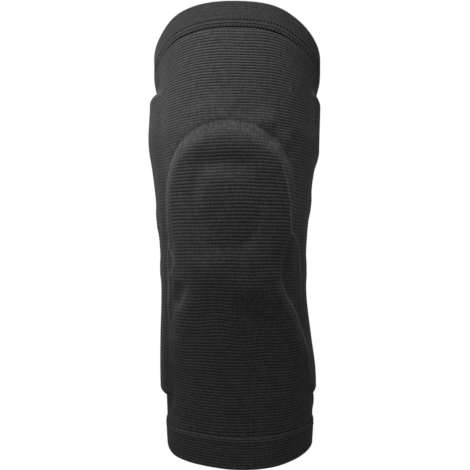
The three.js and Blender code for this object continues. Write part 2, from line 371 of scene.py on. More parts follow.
# Mesh of the knit: turn from column to column in front and behind, rows of the inside, and how finely
# the ribs and columns are counted out
COLUMN_SPACING = {"front": 1.1, "back": 4.8, "from": 88, "to": 130}
INSIDE_ROWS = 40
TURN_SAMPLES = 3601
HEIGHT_SAMPLES = 3000

# Hems: pitch and rise of their ribs, the strength of the painted shade in their grooves, how far from the
# band's edge those start, and the width and depth of the rounding at that edge; then how gradually the
# ribs start, and the rows of mesh round the fold and down the lining
UPPER_HEM = {
    "pitch": 1.6,
    "rise": 0.26,
    "strength": 1.6,
    "ribbed_from": 6.9,
    "edge": 0.7,
    "drop": 0.4,
}
LOWER_HEM = {
    "pitch": 2.2,
    "rise": 0.44,
    "strength": 0.75,
    "ribbed_from": -2,
    "edge": 1.5,
    "drop": 0.6,
}
HEM_RIBS_START = 1.5
FOLD_ROWS = 11
LINING_ROWS = 9

# Tucks of the upper hem, each from one distance from the edge to another and as deep as its last number
UPPER_TUCKS = ((0.9, 2.5, 0.46), (3.0, 5.8, 0.5))
TUCK_LIP = 0.6
TUCKED_ROWS = {"from": 0.35, "to": 8, "spacing": 0.35}

# Swelling of the knit beside each band, and the groove that ends it at the band's edge
HEM_SWELL = {"upper": 0.9, "lower": 0.18, "reach": 6.0}
HEM_GROOVE = {"upper": -0.2, "upper_sides": -1.2, "lower": -1.6, "width": 1.0, "from": 25, "to": 60}

# Stitching: how far each row lies from its band's edge, the stitches in a round of the hem's mean
# radius, the needle holes, and the thread of a stitch, which reaches a share of the stitch's length
# to each side
UPPER_STITCH_ROWS = (0.4, 6.5)
LOWER_STITCH_ROWS = (5.9,)
STITCHES = 156
HEM_RADIUS = 62
COLUMNS_PER_STITCH = 6
STITCH_HOLE = {"depth": 0.78, "width": 0.58}
STITCH = {"radius": 0.22, "reach": 0.3, "lift": 0.02, "dip": 0.5, "taper": 0.6, "breadth": 1.2, "power": 4}

# Noise in the finishes, as cells to a metre, detail and how much each shows
DRIFT = {"scale": 160.0, "detail": 2.0, "by": 0.5}
FUZZ = {"scale": 2400.0, "detail": 2.0, "by": 0.8}
PATCHES = {"scale": 30.0, "detail": 3.0, "by": 0.1}
GATHERS = {"scale": 45.0, "detail": 1.0, "from": 0.5, "to": 0.68}
PORES = {"scale": 1500.0, "detail": 3.0, "by": 0.6}
FOAM_SKIN = {"scale": 60.0, "detail": 3.0, "by": 0.4}
FLOOR_PATCHES = {"scale": 3.0, "detail": 2.0}

# Tones of the knit: its middle shade, the painted shade in the ribs' grooves with the yarn's own darker
# tone there, the contrast of single stitches and wales, the stray pale fibres, the ribs between which the
# yarn looks finer, and the strength of the ribs that counts as faint
MIDDLE_SHADE = 0.53
RIB_GROOVE_SHADE = {"middle": 0.68, "by": 0.78}
STITCH_TONE = {"plain": 0.32, "faint": 0.2}
WALE_TONE = {"plain": 0.1, "faint": 0.12, "gathered": 0.4}
STRAY_FIBRES = {"above": 0.988, "by": 0.5}
FINE_YARN = {"from": 40.0, "to": 130.0, "low": 0.75, "high": 1.0}
FAINT_RIBS = {"from": 0.85, "to": 0.4}

# Small relief of the finishes, its distance in metres, what makes up that of the knit, and how many
# times the thread twists along a stitch
KNIT_RELIEF = {"strength": 0.6, "distance": 0.0002, "wales": 0.5, "fuzz": 0.7, "ribs": 1.2}
FOAM_RELIEF = {"strength": 0.5, "distance": 0.0003}
THREAD_RELIEF = {"strength": 0.5, "distance": 0.0001}
THREAD_TWIST = 3.0

# Camera, in the photograph's frame of 470 pixels, with its place in metres
IMAGE_SIZE = 470
FOCAL_PIXELS = 1500
SENSOR_WIDTH = 36.0
CAMERA_DISTANCE = 1.2
CAMERA_HEIGHT = -0.021

# Lights: a large soft one high on the left, a small one along the left side and a faint one along the
# right, in watts, metres and degrees, each aimed at a height on the leg's axis
LIGHTS = (
    {
        "name": "key",
        "power": 16.2,
        "size": 0.6,
        "spread": 180,
        "azimuth": -38,
        "elevation": 73,
        "distance": 0.85,
        "height": 0,
    },
    {
        "name": "side",
        "power": 0.098,
        "size": 0.2,
        "spread": 54,
        "azimuth": -95,
        "elevation": 14,
        "distance": 0.33,
        "height": 0.055,
    },
    {
        "name": "rim",
        "power": 0.008,
        "size": 0.1,
        "spread": 38,
        "azimuth": 85,
        "elevation": 0,
        "distance": 0.25,
        "height": 0.012,
    },
)
AMBIENT = 0.27

# Round floor, in metres
FLOOR_HEIGHT = -0.9
FLOOR_SIDES = 96
FLOOR_RADII = (2.4, 1.0, 0.0001)


def through(rows, along, column, at):
    """Smooth curve through one column of a table: cubic pieces whose slope at each row is that of
    the line between its two neighbours."""
    x = rows[along]
    y = rows[column]
    count = np.arange(len(x))
    before = np.maximum(count - 1, 0)
    after = np.minimum(count + 1, len(x) - 1)
    slope = (y[after] - y[before]) / (x[after] - x[before])
    i = np.clip(np.searchsorted(x, at) - 1, 0, len(x) - 2)
    width = x[i + 1] - x[i]
    t = np.clip((at - x[i]) / width, 0, 1)
    s = 1 - t
    values = s * s * (1 + 2 * t) * y[i] + t * t * (3 - 2 * t) * y[i + 1]
    return values + t * s * width * (s * slope[i] - t * slope[i + 1])


def step(at, low, high):
    """0 below low, 1 above high, and a smooth cubic rise between."""
    t = np.clip((at - low) / (high - low), 0, 1)
    return t * t * (3 - 2 * t)


def bell(distance):
    """1 in the middle, falling away as exp of minus the distance squared."""
    return np.exp(-distance * distance)


def leg(column, z):
    """One measure of the leg's sections at a height."""
    return through(LEG, "z", column, z)


def row_height(z, turn):
    """Height of a row at one turn: the rows near each end follow that end's edge."""
    up = step(z, TOP_EDGE - EDGE_REACH, TOP_EDGE) * through(EDGE_LIFT, "turn", "top", turn)
    down = 1 - step(z, BOTTOM_EDGE, BOTTOM_EDGE + EDGE_REACH)
    return z + up + down * through(EDGE_LIFT, "turn", "bottom", turn)


def on_leg(z, turn, grow):
    """Points that stand grow out from the leg: half ellipses in front and behind, a little squared,
    in a plane tilted with the leg, about a centre that leans back and shifts with height."""
    z, turn, grow = np.broadcast_arrays(z, turn, grow)
    angle = np.radians(turn)
    slant = np.radians(leg("tilt", z))
    swell = 1 + SQUARENESS * np.sin(2 * angle) ** 2
    depth = np.where(np.cos(angle) > 0, leg("front", z), leg("back", z))
    sideways = (leg("half_width", z) + grow) * np.sin(angle) * swell
    forwards = (depth + grow) * np.cos(angle) * swell
    x = leg("shift", z) + sideways
    y = leg("lean", z) - forwards * np.cos(slant)
    return np.stack([x, y, z + forwards * np.sin(slant)], axis=-1) * MM


def from_edge(edge, turn, distance):
    """Height of the place that lies a distance along the cloth from one edge of the sleeve."""
    inwards = -1 if edge == TOP_EDGE else 1
    rim = row_height(edge, turn)
    run = on_leg(rim + inwards * EDGE_PROBE, turn, KNIT_WALL) - on_leg(rim, turn, KNIT_WALL)
    stretch = np.linalg.norm(run, axis=-1) / (EDGE_PROBE * MM)
    return rim + inwards * distance / stretch


def hem_share(depth, turn):
    """Share of a band's full depth that it has at a turn."""
    aside = step(np.abs(turn), HEM_NARROWING["from"], HEM_NARROWING["to"])
    return 1 - HEM_NARROWING["by"] / depth * aside


def ring_radius(turn, z):
    """Share of the way out from the ring's centre to its egg-shaped outline."""
    across = (turn - RING["turn"]) / np.where(turn < RING["turn"], RING["left"], RING["right"])
    along = (z - RING["z"]) / np.where(z > RING["z"], RING["up"], RING["down"])
    return np.hypot(across, along)


def opening_radius(turn, z):
    """Share of the way out from the ring's centre to the edge of its opening, an oval a little squared:
    the root of the summed powers of the way across and the way along."""
    power = OPENING["squareness"]
    across = np.abs((turn - RING["turn"]) / OPENING["turn"]) ** power
    along = np.abs((z - RING["z"]) / OPENING["z"]) ** power
    return (across + along) ** (1 / power)


def ring_rise(turn, z):
    """Rise over the ring: a smooth shoulder inside its outline, its height and width set by the
    direction from the ring's middle, then a slope down to the soft edge of the opening, and the
    kneecap's dome in the opening."""
    radius = ring_radius(turn, z)
    up = z > RING["z"]
    along = (z - RING["z"]) / np.where(up, RING["up"], RING["down"])
    end = (along / np.maximum(radius, LEAST_RADIUS)) ** 2
    side = 1 - end
    end_shoulder = np.where(up, RING_SHOULDER["up"], RING_SHOULDER["down"])
    shoulder = side * RING_SHOULDER["side"] + end * end_shoulder
    side_rise = np.where(turn < RING["turn"], RING_RISE["left"], RING_RISE["right"])
    rise = side * side_rise + end * np.where(up, RING_RISE["up"], RING_RISE["down"])
    outwards = step(radius, RING_CHANGE["from"], RING_CHANGE["to"])
    rise = RING_RISE["middle"] + (rise - RING_RISE["middle"]) * outwards
    inside = opening_radius(turn, z)
    beyond = (inside - 1 + np.hypot(inside - 1, INNER_SLOPE["softness"])) / 2
    hollow = INNER_SLOPE["depth"] * np.exp(-beyond / INNER_SLOPE["width"])
    kneecap = KNEECAP_RISE * np.maximum(0, 1 - inside * inside)
    return rise * step(1 - radius, 0, shoulder) - hollow + kneecap


def stay_rise(turn, z):
    """Rise over the stay of the side: a flat top between soft edges and short ends."""
    away = np.abs(turn)
    soft = STAY["soft_edge"]
    fore = step(away, STAY["front"] - soft, STAY["front"] + soft)
    aft = 1 - step(away, STAY["back"] - soft, STAY["back"] + soft)
    foot = step(z, STAY["bottom"], STAY["bottom"] + STAY["end_length"])
    head = 1 - step(z, STAY["top"] - STAY["end_length"], STAY["top"])
    return np.where(turn < 0, STAY_RISE["left"], STAY_RISE["right"]) * fore * aft * foot * head


def nearest_on_line(turn, z, start, end):
    """Share of the way from start to end at the nearest place of the line between them, and the
    distance to that place."""
    run_turn = end[0] - start[0]
    run_z = end[1] - start[1]
    from_turn = turn - start[0]
    from_z = z - start[1]
    share = (from_turn * run_turn + from_z * run_z) / (run_turn**2 + run_z**2)
    t = np.clip(share, 0, 1)
    return t, np.hypot(from_turn - t * run_turn, from_z - t * run_z)


def fold_rise(folds, turn, z):
    """Sum of soft ridges, each falling away as a bell with the distance from its line."""
    rise = np.zeros(np.broadcast(turn, z).shape)
    for i in range(len(folds["rise"])):
        start = (folds["turn"][i], folds["z"][i])
        end = (folds["to_turn"][i], folds["to_z"][i])
        distance = nearest_on_line(turn, z, start, end)[1]
        rise = rise + folds["rise"][i] * bell(distance / folds["width"][i])
    return rise


def crease_place(line, turn, z):
    """Distance from the nearest place on a line of points, positive on its left, and the line's
    strength there."""
    nearest = np.full(np.broadcast(turn, z).shape, np.inf)
    off = np.zeros(nearest.shape)
    strength = np.zeros(nearest.shape)
    for start, end in zip(line, line[1:]):
        t, distance = nearest_on_line(turn, z, start, end)
        across = (end[0] - start[0]) * (z - start[1]) - (end[1] - start[1]) * (turn - start[0])
        here = distance < nearest
        nearest = np.where(here, distance, nearest)
        off = np.where(here, np.sign(across) * distance, off)
        strength = np.where(here, start[2] + (end[2] - start[2]) * t, strength)
    return off, strength


def creases(turn, z):
    """Rise of the sharp creases, and for the nearest one the distance from its painted highlight line,
    in widths of that line, and how strong that painted highlight is."""
    shape = np.broadcast(turn, z).shape
    rise = np.zeros(shape)
    off = np.full(shape, CREASE_REACH)
    pale = np.zeros(shape)
    for crease in CREASES:
        distance, strength = crease_place(crease["line"], turn, z)
        rise = rise + crease["rise"] * strength * bell(distance / crease["width"])
        reach = CREASE_REACH * crease["line_width"]
        left = 1 - step(np.abs(distance), CREASE_FADE * reach, reach)
        here = crease["pale"] * strength * left
        off = np.where(here > pale, distance / crease["line_width"], off)
        pale = np.maximum(pale, here)
    return rise, off, pale


def drape(turn, z):
    """How far the knit's inner face stands off the leg."""
    return np.hypot(ring_rise(turn, z), stay_rise(turn, z)) + fold_rise(FOLDS, turn, z)


def grid_object(name, points, u, v, wrap_rows, finishes, finish_of_row=None):
    """Mesh over a grid of points that closes on itself along its columns, and along its rows too
    if wrap_rows; u and v give the map's place of each column and row."""
    rows, columns = points.shape[:2]
    i, j = np.meshgrid(np.arange(rows if wrap_rows else rows - 1), np.arange(columns), indexing="ij")
    up = (i + 1) % rows
    on = (j + 1) % columns
    faces = np.stack([i * columns + j, i * columns + on, up * columns + on, up * columns + j], -1)
    corner_u = np.stack([u[j], u[j + 1], u[j + 1], u[j]], -1)
    corner_v = np.stack([v[i], v[i], v[i + 1], v[i + 1]], -1)
    corner_map = np.stack([corner_u, corner_v], -1).reshape(-1, 4, 2)
    finish = None if finish_of_row is None else finish_of_row[i]
    return mesh_object(name, points.reshape(-1, 3), faces.reshape(-1, 4), corner_map, finishes, finish)


def mesh_object(name, places, faces, corner_map, finishes, finish=None):
    """Smooth mesh of four-sided faces, with a map of their corners and its finishes. The faces are
    turned to point outwards, where the signed volume inside them, the sum of a . (b x c + c x d), is
    positive."""
    a, b, c, d = (places[faces[:, k]] for k in range(4))
    volume = np.einsum("ij,ij->i", a, np.cross(b, c) + np.cross(c, d)).sum()
    if volume < 0:
        faces = faces[:, ::-1]
        corner_map = corner_map[:, ::-1]
    mesh = bpy.data.meshes.new(name)
    mesh.vertices.add(len(places))
    mesh.vertices.foreach_set("co", np.ascontiguousarray(places, np.float32).ravel())
    mesh.loops.add(faces.size)
    mesh.loops.foreach_set("vertex_index", np.ascontiguousarray(faces, np.int32).ravel())
    mesh.polygons.add(len(faces))
    mesh.polygons.foreach_set("loop_start", np.arange(0, faces.size, 4, dtype=np.int32))
    mesh.polygons.foreach_set("use_smooth", np.ones(len(faces), bool))
    if finish is not None:
        mesh.polygons.foreach_set("material_index", np.ascontiguousarray(finish, np.int32).ravel())
    mesh.update(calc_edges=True)
    layer = mesh.uv_layers.new(name="cloth")
    layer.data.foreach_set("uv", np.ascontiguousarray(corner_map, np.float32).ravel())
    mesh.validate()
    for material in finishes:
        mesh.materials.append(material)
    piece = bpy.data.objects.new(name, mesh)
    bpy.context.scene.collection.objects.link(piece)
    return piece


def point_values(piece, **values):
    """Adds named values to a piece, one for each of its points."""
    for name, amounts in values.items():
        layer = piece.data.attributes.new(name, "FLOAT", "POINT")
        layer.data.foreach_set("value", np.ascontiguousarray(amounts, np.float32).ravel())


class Wire:
    """A shader value; arithmetic on it adds Math nodes to its finish."""

    def __init__(self, finish, socket):
        self.finish = finish
        self.socket = socket

    def maths(self, operation, *values):
        sockets = dict(enumerate(values))
        return self.finish.node("ShaderNodeMath", {"operation": operation}, sockets)

    def __add__(self, other):
        return self.maths("ADD", self, other)

    def __sub__(self, other):
        return self.maths("SUBTRACT", self, other)

    def __rsub__(self, other):
        return self.maths("SUBTRACT", other, self)

    def __mul__(self, other):
        return self.maths("MULTIPLY", self, other)

    def __pow__(self, other):
        return self.maths("POWER", self, other)

    def __abs__(self):
        return self.maths("ABSOLUTE", self)

    __radd__ = __add__
    __rmul__ = __mul__

    def sine(self):
        return self.maths("SINE", self)

    def floor(self):
        return self.maths("FLOOR", self)

    def wave(self):
        """Wave from 0 to 1 that repeats with each whole number."""
        return (self * math.tau).sine() * 0.5 + 0.5

    def between(self, low, high, to_low=0.0, to_high=1.0):
        """Carried from one range to another, and kept within it."""
        sockets = {0: self, 1: low, 2: high, 3: to_low, 4: to_high}
        return self.finish.node("ShaderNodeMapRange", None, sockets)

    def bell(self):
        """1 at nought, falling away as exp of minus the square."""
        below = self * self * -1.0
        return below.maths("EXPONENT", below)


class Finish:
    """A procedural material; node() adds any shader node from its type, settings and sockets."""

    def __init__(self, name):
        self.material = bpy.data.materials.new(name)
        self.material.use_nodes = True
        self.tree = self.material.node_tree
        self.tree.nodes.clear()

    def node(self, kind, settings=None, sockets=None, output=0):
        node = self.tree.nodes.new(kind)
        for key, value in (settings or {}).items():
            setattr(node, key, value)
        for key, value in (sockets or {}).items():
            if isinstance(value, Wire):
                self.tree.links.new(value.socket, node.inputs[key])
            else:
                node.inputs[key].default_value = value
        return None if output is None else Wire(self, node.outputs[output])

    def cloth_map(self):
        """Place on the cloth's own map, across and along."""
        place = self.node("ShaderNodeUVMap", {"uv_map": "cloth"})
        across = self.node("ShaderNodeSeparateXYZ", None, {0: place}, 0)
        along = self.node("ShaderNodeSeparateXYZ", None, {0: place}, 1)
        return across, along

    def value(self, name):
        """Value that the piece carries at each of its points."""
        return self.node("ShaderNodeAttribute", {"attribute_name": name}, None, 2)

    def noise(self, form):
        """Even noise from 0 to 1 through the piece."""
        place = self.node("ShaderNodeTexCoord", None, None, 3)
        sockets = {"Vector": place, "Scale": form["scale"], "Detail": form["detail"]}
        return self.node("ShaderNodeTexNoise", None, sockets)

    def mix(self, share, low, high):
        """Colour between two others."""
        sockets = {0: share, 6: low, 7: high}
        return self.node("ShaderNodeMix", {"data_type": "RGBA"}, sockets, 2)

    def relief(self, height, form):
        """Normal that small heights give the surface."""
        sockets = {"Strength": form["strength"], "Distance": form["distance"], "Height": height}
        return self.node("ShaderNodeBump", None, sockets)

    def close(self, **sockets):
        """Ends the material in one cloth shader with these sockets."""
        named = {key.replace("_", " "): value for key, value in sockets.items()}
        shader = self.node("ShaderNodeBsdfPrincipled", None, named)
        self.node("ShaderNodeOutputMaterial", None, {"Surface": shader}, None)
        return self.material


def grey(value):
    """Neutral colour of one linear value."""
    return (value, value, value, 1.0)


def knit_finish(name, low, high, grain, sheen, ribs_in_relief=False):
    """Black knit: ribs darker in their grooves, partly the yarn's own tone and partly painted shade of the
    grooves, ticked across by the wales, each stitch a little lighter or darker than the next, with the
    yarn's fuzz and a few stray pale fibres, and a painted highlight along each crease."""
    finish = Finish(name)
    wale, rib = finish.cloth_map()
    crest = abs((rib * math.pi).sine()) ** RIB_ROUND
    column = wale + finish.noise(DRIFT) * DRIFT["by"]
    tick = column.wave()
    place = finish.node("ShaderNodeCombineXYZ", None, {0: column.floor(), 1: rib.floor()})
    stitch = finish.node("ShaderNodeTexWhiteNoise", {"noise_dimensions": "2D"}, {"Vector": place})
    stray = stitch.maths("GREATER_THAN", stitch, STRAY_FIBRES["above"])
    fuzz = finish.noise(FUZZ)
    ribbing = finish.value("ribbing")
    faint = ribbing.between(FAINT_RIBS["from"], FAINT_RIBS["to"])
    gathered = finish.noise(GATHERS).between(GATHERS["from"], GATHERS["to"])
    finer = rib.between(FINE_YARN["from"], FINE_YARN["to"], FINE_YARN["low"], FINE_YARN["high"])
    away = abs(wale * (360 / WALES) - 180.0)
    onto = away.between(FLAT["from"], FLAT["full"])
    past = away.between(FLAT["until"], FLAT["to"])
    plainer = 1.0 - (onto - past) * FLAT["by"]

    stitches = (stitch - 0.5) * (faint * STITCH_TONE["faint"] + STITCH_TONE["plain"])
    clear = gathered * WALE_TONE["gathered"] + faint * WALE_TONE["faint"] + WALE_TONE["plain"]
    knots = stitches + (tick - 0.5) * clear
    yarn = ((fuzz - 0.5) * FUZZ["by"] + knots) * grain
    # ribs darker in their grooves: painted shade of the grooves, with the yarn's own darker tone there
    ribs = (crest - RIB_GROOVE_SHADE["middle"]) * RIB_GROOVE_SHADE["by"] * ribbing
    uneven = finish.noise(PATCHES) * PATCHES["by"]
    shade = ribs + yarn * finer * plainer + uneven + MIDDLE_SHADE
    fibres = stray * crest * tick * STRAY_FIBRES["by"]
    colour = finish.mix(shade + fibres, grey(low), grey(high))
    # painted highlight along each crease, where its crest catches the light
    line = finish.value("crease_off").bell() * finish.value("crease_pale")
    colour = finish.mix(line, colour, grey(high * CREASE_HIGHLIGHT_PALER))

    height = tick * KNIT_RELIEF["wales"] + fuzz * KNIT_RELIEF["fuzz"]
    if ribs_in_relief:
        height = height + crest * KNIT_RELIEF["ribs"]
    return finish.close(
        Base_Color=colour,
        Roughness=0.95,
        Normal=finish.relief(height, KNIT_RELIEF),
        Specular_IOR_Level=0.2,
        Sheen_Weight=sheen,
        Sheen_Roughness=0.5,
    )


def foam_finish(name, low, high):
    """Dark closed-cell foam: fine pores over a slightly uneven skin."""
    finish = Finish(name)
    pores = finish.noise(PORES)
    shade = pores * PORES["by"] + finish.noise(FOAM_SKIN) * FOAM_SKIN["by"]
    return finish.close(
        Base_Color=finish.mix(shade, grey(low), grey(high)),
        Roughness=0.85,
        Normal=finish.relief(pores, FOAM_RELIEF),
        Specular_IOR_Level=0.3,
    )


def thread_finish(name, low, high):
    """Twisted black sewing thread: a slanting twist along each stitch."""
    finish = Finish(name)
    around, along = finish.cloth_map()
    twist = (around + along * THREAD_TWIST).wave()
    return finish.close(
        Base_Color=finish.mix(twist, grey(low), grey(high)),
        Roughness=0.7,
        Normal=finish.relief(twist, THREAD_RELIEF),
    )


def floor_finish(name, low, high):
    """Pale matte floor with a trace of unevenness."""
    finish = Finish(name)
    colour = finish.mix(finish.noise(FLOOR_PATCHES), grey(low), grey(high))
    return finish.close(Base_Color=colour, Roughness=0.9)


KNIT = knit_finish("black_knit", low=0.005, high=0.05, grain=1.0, sheen=0.02)
KNIT_INSIDE = knit_finish("black_knit_inside", 0.008, 0.036, grain=1.0, sheen=0.02, ribs_in_relief=True)
HEM_KNIT = knit_finish("fine_hem_knit", low=0.002, high=0.0285, grain=1.7, sheen=0.045)
THREAD = thread_finish("hem_thread", low=0.012, high=0.035)
PAD_FOAM = foam_finish("pad_foam", low=0.03, high=0.06)
STAY_FOAM = foam_finish("stay_foam", low=0.025, high=0.05)
PALE_FLOOR = floor_finish("pale_floor", low=0.78, high=0.8)


def rib_scale():
    """Heights up the axis and the number of ribs below each: the sum of height over pitch."""
    heights = np.linspace(BOTTOM_EDGE, TOP_EDGE, HEIGHT_SAMPLES)
    density = 1 / through(RIBS, "z", "pitch", heights)
    gain = (density[1:] + density[:-1]) / 2 * np.diff(heights)
    return heights, np.concatenate([[0], np.cumsum(gain)])


def ripple(turn, z):
    """Slow unevenness of the ribs round the leg: the mean of a few sine waves of unlike lengths, larger
    where the knit gathers."""
    angle = np.radians(turn)
    wave = 0
    total = 0
    for count, length, start, share in RIPPLES:
        wave = wave + share * np.sin(count * angle + z / length + start)
        total = total + share
    gathered = bell((z - RIPPLE["at"]) / RIPPLE["reach"])
    return wave / total * (RIPPLE["all"] + RIPPLE["gathered"] * gathered)


def beside_band(distance, groove):
    """Share by which the knit swells towards a band's edge: a bell outside the band, then a groove that
    ends it."""
    outside = bell(np.maximum(0, distance) / HEM_SWELL["reach"])
    return outside * step(distance, groove, groove + HEM_GROOVE["width"])


def hem_swell(turn, z):
    """Swelling of the knit beside both bands, by its distance from their edges."""
    lower_depth = LOWER_HEM_DEPTH * hem_share(LOWER_HEM_DEPTH, turn)
    upper_depth = UPPER_HEM_DEPTH * hem_share(UPPER_HEM_DEPTH, turn)
    above_lower = z - from_edge(BOTTOM_EDGE, turn, lower_depth)
    below_upper = from_edge(TOP_EDGE, turn, upper_depth) - z
    aside = step(np.abs(turn), HEM_GROOVE["from"], HEM_GROOVE["to"])
    groove = HEM_GROOVE["upper"] + (HEM_GROOVE["upper_sides"] - HEM_GROOVE["upper"]) * aside
    lower = HEM_SWELL["lower"] * beside_band(above_lower, HEM_GROOVE["lower"])
    return lower + HEM_SWELL["upper"] * beside_band(below_upper, groove)


def rib_share(turn, z):
    """Share of the ribs' rise that is left: the knit is drawn flat over the stays, over the ring's top
    edge and in one dent, and the ribs fade towards the right of the thigh."""
    away = np.abs(turn)
    over_stay = step(away, FLAT["from"], FLAT["full"]) * (1 - step(away, FLAT["until"], FLAT["to"]))
    right = step(turn, FADING["from"], FADING["to"]) * (1 - step(turn, FLAT["until"], FLAT["to"]))
    on_thigh = step(z, FADING["above"], FADING["full"])
    over_edge = bell((ring_radius(turn, z) - ARCH["at"]) / ARCH["width"])
    arch = over_edge * step(z, ARCH["from"], ARCH["full"])
    drawn = (1 - ARCH["by"] * arch) * (1 - fold_rise(FAINT, turn, z))
    return drawn * (1 - FLAT["by"] * over_stay) * (1 - FADING["by"] * right * on_thigh)


def knit_turns():
    """Turns of the knit's columns, closer together in front than behind."""
    fine = np.linspace(-180, 180, TURN_SAMPLES)
    behind = step(np.abs(fine), COLUMN_SPACING["from"], COLUMN_SPACING["to"])
    spacing = COLUMN_SPACING["front"] + (COLUMN_SPACING["back"] - COLUMN_SPACING["front"]) * behind
    count = np.concatenate([[0], np.cumsum(np.diff(fine) / spacing[1:])])
    columns = round(count[-1])
    return np.interp(np.arange(columns) * count[-1] / columns, count, fine)


def knit_sleeve():
    """Knitted tube: up the outside in ribs, each a rounded crest between narrow grooves, and down
    the inside in plain rows."""
    heights, ribs = rib_scale()
    first = math.ceil(np.interp(RIBBED_FROM, heights, ribs))
    last = math.floor(np.interp(RIBBED_TO, heights, ribs))
    rib_rows = first + np.arange((last - first) * ROWS_PER_RIB + 1) / ROWS_PER_RIB
    turn = knit_turns()
    across = np.append(turn + 180, 360) * WALES / 360

    inset = HEM_LAYER + SEAM_GAP
    nominal = np.interp(rib_rows, ribs, heights)
    z = row_height(nominal[:, None], turn)
    z = z + ripple(turn, z)
    crest = np.abs(np.sin(np.pi * rib_rows)) ** RIB_ROUND
    draw = np.random.default_rng(RIB_UNEVEN["seed"])
    uneven = draw.uniform(RIB_UNEVEN["low"], RIB_UNEVEN["high"], last - first + 2)
    rise = RIB_RISE * uneven[np.floor(rib_rows - first).astype(int)]
    strength = through(RIB_STRENGTH, "z", "strength", nominal)
    rise = rise * (1 + strength) / 2
    relief = RIB_CREST - rise * (1 - crest)
    foot = from_edge(BOTTOM_EDGE, turn, inset)[None, :]
    head = from_edge(TOP_EDGE, turn, inset)[None, :]
    z_out = np.concatenate([foot, z, head])
    flatter = rib_share(turn, z_out)
    relief = np.concatenate([[0.0], relief, [0.0]])[:, None] * flatter + RIB_CREST * (1 - flatter)
    crease, off, pale = creases(turn, z_out)
    raised = drape(turn, z_out) + crease + hem_swell(turn, z_out)
    outside = on_leg(z_out, turn, raised + KNIT_WALL + relief)
    v_out = np.concatenate([[0.0], rib_rows, [ribs[-1]]])

    share = np.linspace(1, 0, INSIDE_ROWS)[:, None]
    z_in = foot + (head - foot) * share
    inside = on_leg(z_in, turn, drape(turn, z_in))
    v_in = ribs[-1] * share[:, 0]

    points = np.concatenate([outside, inside])
    along = np.concatenate([v_out, v_in, v_out[:1]])
    finish_of_row = np.where(np.arange(len(points)) < len(outside), 0, 1)
    piece = grid_object("knit_sleeve", points, across, along, True, [KNIT, KNIT_INSIDE], finish_of_row)
    strength = np.concatenate([strength[:1], strength, strength[-1:]])[:, None] * flatter
    plain = np.zeros(z_in.shape)
    # each point carries its crease's painted highlight and the strength of the painted shade in the ribs'
    # grooves
    point_values(
        piece,
        crease_off=np.concatenate([off, plain]),
        crease_pale=np.concatenate([pale, plain]),
        ribbing=np.concatenate([strength, plain + 1]),
    )
    return piece


def hem_turns():
    """Turns of the columns round a hem, a few to each stitch."""
    count = STITCHES * COLUMNS_PER_STITCH
    return -180 + 360 * np.arange(count) / count


def stitch_holes(turn, distance, rows):
    """Dimples where the needle went in: bells about each hole, along each row of stitches."""
    phase = (turn + 180) / 360 * STITCHES
    off = np.abs(phase - np.round(phase)) * stitch_length()
    hole = np.zeros(np.broadcast(turn, distance).shape)
    for row in rows:
        hole = hole + bell(np.hypot(off, distance - row) / STITCH_HOLE["width"])
    return STITCH_HOLE["depth"] * hole


def stitch_length():
    """Mean distance between needle holes, from the girth of the hem."""
    return math.tau * HEM_RADIUS / STITCHES


def hem_band(name, edge, depth, ribs, tucks, stitch_rows, finish):
    """Band folded over an edge: up its ribbed outside, round the fold, down the inside and back
    through the slot that takes the knit."""
    turn = hem_turns()
    outside = KNIT_WALL + SEAM_GAP + HEM_LAYER
    inside = -SEAM_GAP - HEM_LAYER
    middle = (outside + inside) / 2
    fold = (outside - inside) / 2

    close = np.arange(TUCKED_ROWS["from"], TUCKED_ROWS["to"], TUCKED_ROWS["spacing"])
    rows = np.append(close, np.arange(TUCKED_ROWS["to"], depth - fold, ribs["pitch"] / ROWS_PER_RIB))
    crest = np.abs(np.sin(np.pi * rows / ribs["pitch"])) ** RIB_ROUND
    ribbed = step(rows, ribs["ribbed_from"], ribs["ribbed_from"] + HEM_RIBS_START)
    bend = np.linspace(0, np.pi, FOLD_ROWS)[1:-1]
    lining = np.linspace(fold, depth, LINING_ROWS)
    slot = np.array([depth, depth / 2, HEM_LAYER])

    face_in = depth - rows
    face_grow = outside - ribs["drop"] * bell(rows / ribs["edge"]) - ribs["rise"] * (1 - crest) * ribbed
    for start, end, sink in tucks:
        slope = np.clip((rows - start) / (end - start), 0, 1)
        face_grow = face_grow - sink * slope * (1 - step(rows, end, end + TUCK_LIP))
    fold_in = fold * (1 - np.sin(bend))
    fold_grow = middle + fold * np.cos(bend)
    distance = np.concatenate([face_in, fold_in, lining, slot, slot[::-1]])
    grow = np.concatenate(
        [
            face_grow,
            fold_grow,
            np.full(len(lining), inside),
            np.full(len(slot), -SEAM_GAP),
            np.full(len(slot), KNIT_WALL + SEAM_GAP),
        ]
    )
    z = from_edge(edge, turn[None, :], distance[:, None] * hem_share(depth, turn))
    grow = np.broadcast_to(grow[:, None], z.shape).copy()
    on_face = np.arange(len(distance)) < len(rows)
    holes = stitch_holes(turn[None, :], depth - distance[:, None], stitch_rows)
    grow -= np.where(on_face[:, None], holes, 0)
    points = on_leg(z, turn, grow)
    across = np.arange(len(turn) + 1) * WALES / len(turn)
    along = np.concatenate([(depth - distance), [0.0]]) / ribs["pitch"]
    piece = grid_object(name, points, across, along, True, [finish])
    point_values(piece, ribbing=np.full(points.shape[:2], ribs["strength"]))
    return piece


